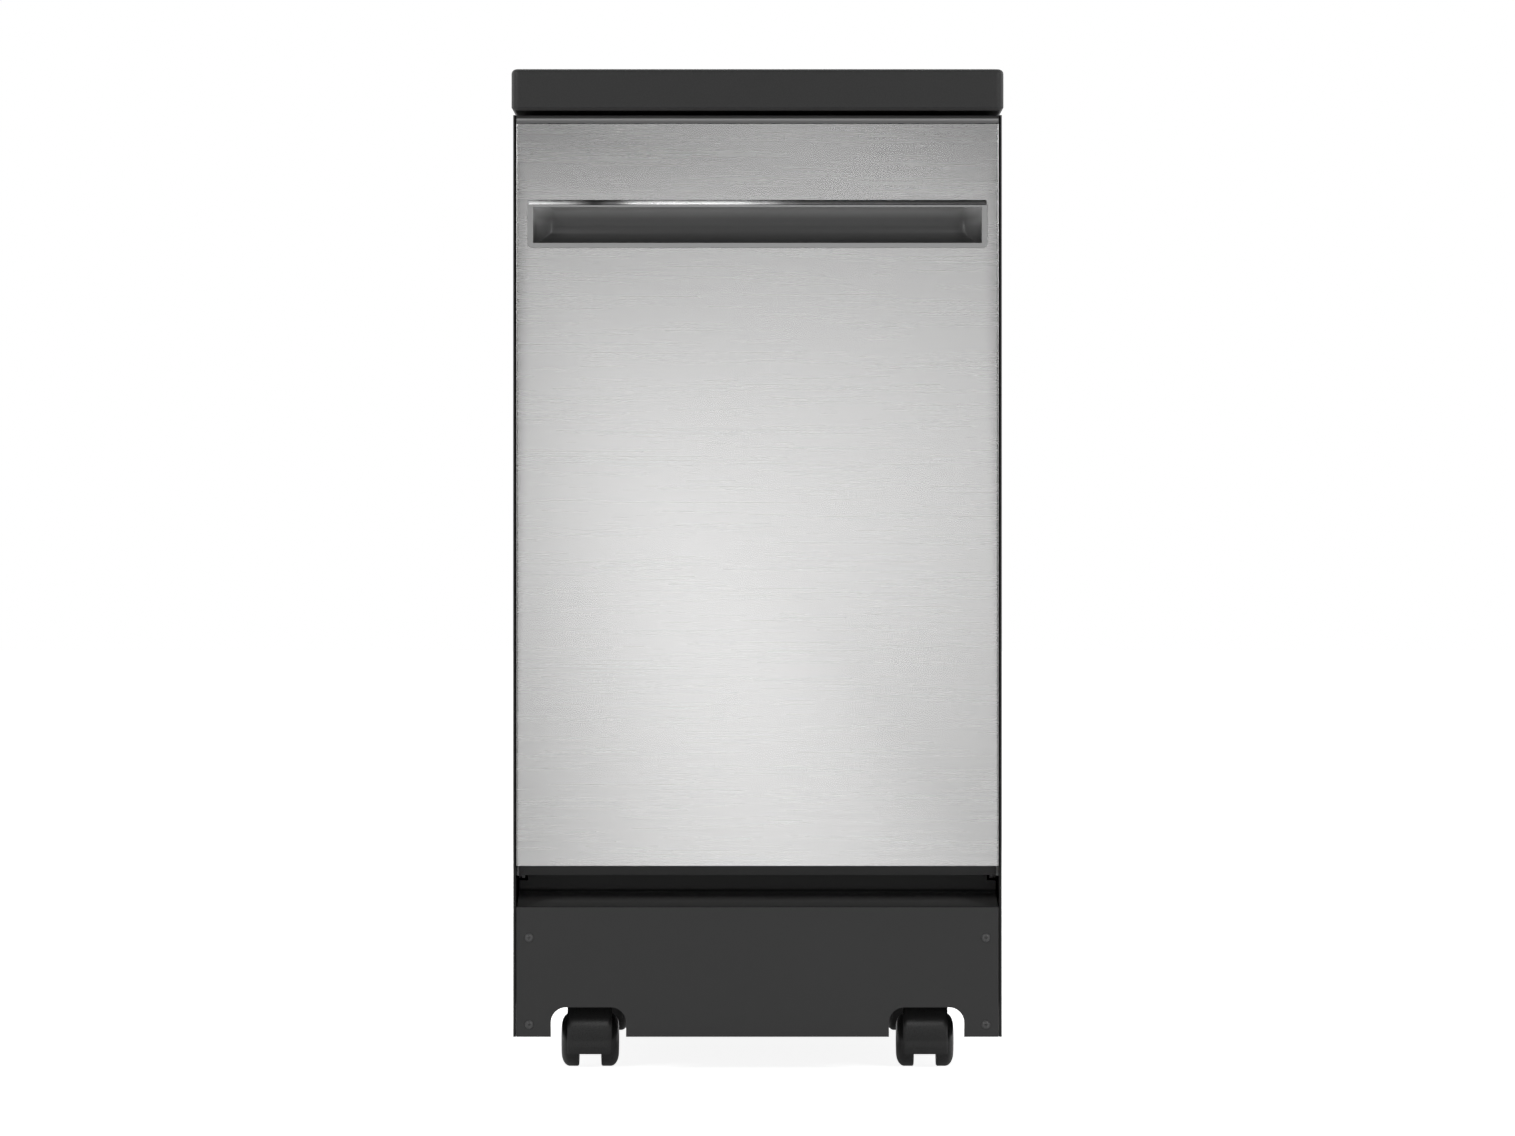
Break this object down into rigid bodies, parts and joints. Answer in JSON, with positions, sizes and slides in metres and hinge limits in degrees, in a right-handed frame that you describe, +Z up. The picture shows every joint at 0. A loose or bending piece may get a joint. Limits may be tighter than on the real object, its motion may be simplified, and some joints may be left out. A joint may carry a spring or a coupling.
{
  "type": "portable dishwasher",
  "caption": "Free-standing portable dishwasher on hooded twin-wheel casters, with a drop-down door, scooped handle pocket, sliding wire racks, spray arms and a black worktop.",
  "frame": {"origin": "on the floor, under the centre of the machine's outline", "axes": "+Z up, +X to the machine's right seen from the front, -Y towards the user (the door faces -Y)"},
  "size_m": [0.451, 0.6, 0.919],
  "materials": {
    "worktop_laminate": "black laminate on board, satin",
    "black_enamel": "black enamel, semi-gloss",
    "screw_black": "black passivated",
    "zinc_sheet": "zinc-coated sheet",
    "base_plastic": "black moulded, matt",
    "fitting_plastic": "grey moulded",
    "caster_plastic": "black nylon, satin",
    "caster_tread": "black nylon, satin",
    "tub_steel": "bright stainless sheet",
    "seal_rubber": "black",
    "grey_moulding": "mid grey, satin",
    "rack_coating": "grey nylon-coated steel rod",
    "rail_steel": "stainless sheet",
    "door_steel": "horizontal brushed stainless sheet",
    "pocket_plastic": "dark silver moulded",
    "bright_strip": "bright strip",
    "panel_black": "black moulded",
    "key_grey": "grey moulded",
    "pump_metal": "die-cast, dark"
  },
  "bodies": {
    "cabinet": {"worktop": "worktop_laminate", "side_panel_left": "black_enamel", "side_panel_right": "black_enamel", "rear_panel": "zinc_sheet", "rear_fittings": "fitting_plastic", "lower_front_panel": "black_enamel", "panel_screws": "screw_black", "toe_recess_panel": "black_enamel", "base_pan": "base_plastic", "tub_wrap": "tub_steel", "tub_back": "tub_steel", "tub_floor": "tub_steel", "door_gasket": "seal_rubber", "sump": "base_plastic", "filter_plate": "tub_steel", "supply_duct": "grey_moulding", "hinge_brackets": "zinc_sheet", "door_springs": "zinc_sheet", "top_frame": "zinc_sheet", "wash_pump": "pump_metal", "drain_pump": "pump_metal", "upper_rails_fixed": "rail_steel"},
    "door": {"door_skin": "door_steel", "handle_pocket": "pocket_plastic", "handle_lip": "bright_strip", "door_inner_panel": "tub_steel", "door_bottom_trim": "panel_black", "control_panel": "panel_black", "latch_housing": "panel_black", "dispenser_body": "grey_moulding", "hinge_arms": "zinc_sheet"},
    "latch_hook": {"latch_hook": "key_grey"},
    "dispenser_lid": {"dispenser_lid": "grey_moulding"},
    "rinse_aid_cap": {"rinse_aid_cap": "grey_moulding"},
    "key_power": {"key_power": "key_grey"},
    "key_program": {"key_program": "key_grey"},
    "key_start": {"key_start": "key_grey"},
    "lower_rack": {"lower_rack_wires": "rack_coating", "lower_roller_brackets": "grey_moulding", "cutlery_basket": "grey_moulding"},
    "lower_tines_fold": {"lower_tines_fold": "rack_coating"},
    "lower_rollers_front": {"lower_rollers_front": "grey_moulding"},
    "lower_rollers_rear": {"lower_rollers_rear": "grey_moulding"},
    "upper_rails_middle": {"upper_rails_middle": "rail_steel"},
    "upper_rack_carriage": {"upper_rack_carriage": "rail_steel"},
    "upper_rack": {"upper_rack_wires": "rack_coating", "upper_rack_hooks": "grey_moulding", "upper_feed_tube": "grey_moulding"},
    "upper_spray_arm": {"upper_spray_arm": "grey_moulding"},
    "lower_spray_arm": {"lower_spray_arm": "grey_moulding"},
    "filter_cup": {"filter_cup": "grey_moulding"},
    "float_bell": {"float_bell": "grey_moulding"},
    "caster_hood_fl": {"caster_hood_fl": "caster_plastic"},
    "caster_wheels_fl": {"caster_wheels_fl": "caster_tread"},
    "caster_hood_fr": {"caster_hood_fr": "caster_plastic"},
    "caster_wheels_fr": {"caster_wheels_fr": "caster_tread"},
    "caster_hood_rl": {"caster_hood_rl": "caster_plastic"},
    "caster_wheels_rl": {"caster_wheels_rl": "caster_tread"},
    "caster_hood_rr": {"caster_hood_rr": "caster_plastic"},
    "caster_wheels_rr": {"caster_wheels_rr": "caster_tread"}
  },
  "joints": [
    {"name": "door_hinge", "type": "hinge", "parent": "cabinet", "child": "door", "pos_m": [0, -0.27, 0.186], "axis": [1, 0, 0], "range_deg": [0, 90], "deforming": ["door_springs"]},
    {"name": "latch_hook_pivot", "type": "hinge", "parent": "door", "child": "latch_hook", "pos_m": [0, -0.256, 0.852], "axis": [1, 0, 0], "range_deg": [0, 14]},
    {"name": "dispenser_lid_slide", "type": "slide", "parent": "door", "child": "dispenser_lid", "axis": [1, 0, 0], "range_m": [0, 0.084]},
    {"name": "rinse_aid_cap_turn", "type": "hinge", "parent": "door", "child": "rinse_aid_cap", "pos_m": [0.078, -0.2334, 0.522], "axis": [0, 1, 0], "range_deg": [0, 90]},
    {"name": "lower_rack_slide", "type": "slide", "parent": "cabinet", "child": "lower_rack", "axis": [0, -1, 0], "range_m": [0, 0.45]},
    {"name": "lower_tines_fold_pivot", "type": "hinge", "parent": "lower_rack", "child": "lower_tines_fold", "pos_m": [0, 0.01196, 0.25837], "axis": [-1, 0, 0], "range_deg": [0, 78]},
    {"name": "lower_rollers_front_roll", "type": "hinge", "parent": "lower_rack", "child": "lower_rollers_front", "pos_m": [0, -0.098, 0.233], "axis": [1, 0, 0], "range_deg": [0, 1357]},
    {"name": "lower_rollers_rear_roll", "type": "hinge", "parent": "lower_rack", "child": "lower_rollers_rear", "pos_m": [0, 0.176, 0.233], "axis": [1, 0, 0], "range_deg": [0, 1357]},
    {"name": "upper_rails_middle_slide", "type": "slide", "parent": "cabinet", "child": "upper_rails_middle", "axis": [0, -1, 0], "range_m": [0, 0.2]},
    {"name": "upper_rack_slide", "type": "slide", "parent": "cabinet", "child": "upper_rack_carriage", "axis": [0, -1, 0], "range_m": [0, 0.4]},
    {"name": "upper_rack_lift", "type": "slide", "parent": "upper_rack_carriage", "child": "upper_rack", "axis": [0, 0, 1], "range_m": [0, 0.04]},
    {"name": "upper_spray_arm_spin", "type": "hinge", "parent": "upper_rack", "child": "upper_spray_arm", "pos_m": [0, 0.014, 0.546], "axis": [0, 0, 1], "continuous": true},
    {"name": "lower_spray_arm_spin", "type": "hinge", "parent": "cabinet", "child": "lower_spray_arm", "pos_m": [0, 0.014, 0.2295], "axis": [0, 0, 1], "continuous": true},
    {"name": "filter_cup_turn", "type": "hinge", "parent": "cabinet", "child": "filter_cup", "pos_m": [0.048, -0.02, 0.18], "axis": [0, 0, 1], "range_deg": [0, 90]},
    {"name": "float_lift", "type": "slide", "parent": "cabinet", "child": "float_bell", "axis": [0, 0, 1], "range_m": [0, 0.009]},
    {"name": "key_power_press", "type": "slide", "parent": "door", "child": "key_power", "axis": [0, 0, -1], "range_m": [0, 0.0012], "stiffness_N_per_m": 400},
    {"name": "key_program_press", "type": "slide", "parent": "door", "child": "key_program", "axis": [0, 0, -1], "range_m": [0, 0.0012], "stiffness_N_per_m": 400},
    {"name": "key_start_press", "type": "slide", "parent": "door", "child": "key_start", "axis": [0, 0, -1], "range_m": [0, 0.0012], "stiffness_N_per_m": 400},
    {"name": "caster_swivel_fl", "type": "hinge", "parent": "cabinet", "child": "caster_hood_fl", "pos_m": [-0.155, -0.236, 0.07], "axis": [0, 0, 1], "continuous": true},
    {"name": "caster_roll_fl", "type": "hinge", "parent": "caster_hood_fl", "child": "caster_wheels_fl", "pos_m": [-0.155, -0.222, 0.0246], "axis": [1, 0, 0], "continuous": true},
    {"name": "caster_swivel_fr", "type": "hinge", "parent": "cabinet", "child": "caster_hood_fr", "pos_m": [0.155, -0.236, 0.07], "axis": [0, 0, 1], "continuous": true},
    {"name": "caster_roll_fr", "type": "hinge", "parent": "caster_hood_fr", "child": "caster_wheels_fr", "pos_m": [0.155, -0.222, 0.0246], "axis": [1, 0, 0], "continuous": true},
    {"name": "caster_swivel_rl", "type": "hinge", "parent": "cabinet", "child": "caster_hood_rl", "pos_m": [-0.155, 0.236, 0.07], "axis": [0, 0, 1], "continuous": true},
    {"name": "caster_roll_rl", "type": "hinge", "parent": "caster_hood_rl", "child": "caster_wheels_rl", "pos_m": [-0.155, 0.25, 0.0246], "axis": [1, 0, 0], "continuous": true},
    {"name": "caster_swivel_rr", "type": "hinge", "parent": "cabinet", "child": "caster_hood_rr", "pos_m": [0.155, 0.236, 0.07], "axis": [0, 0, 1], "continuous": true},
    {"name": "caster_roll_rr", "type": "hinge", "parent": "caster_hood_rr", "child": "caster_wheels_rr", "pos_m": [0.155, 0.25, 0.0246], "axis": [1, 0, 0], "continuous": true}
  ],
  "couplings": [
    {"joint": "lower_rack_slide", "follows": "door_hinge", "m_per_rad": 0.10186},
    {"joint": "lower_rollers_front_roll", "follows": "door_hinge", "ratio": 5.361},
    {"joint": "lower_rollers_rear_roll", "follows": "door_hinge", "ratio": 5.361},
    {"joint": "upper_rails_middle_slide", "follows": "door_hinge", "m_per_rad": 0.12732},
    {"joint": "upper_rack_slide", "follows": "door_hinge", "m_per_rad": 0.25464}
  ]
}
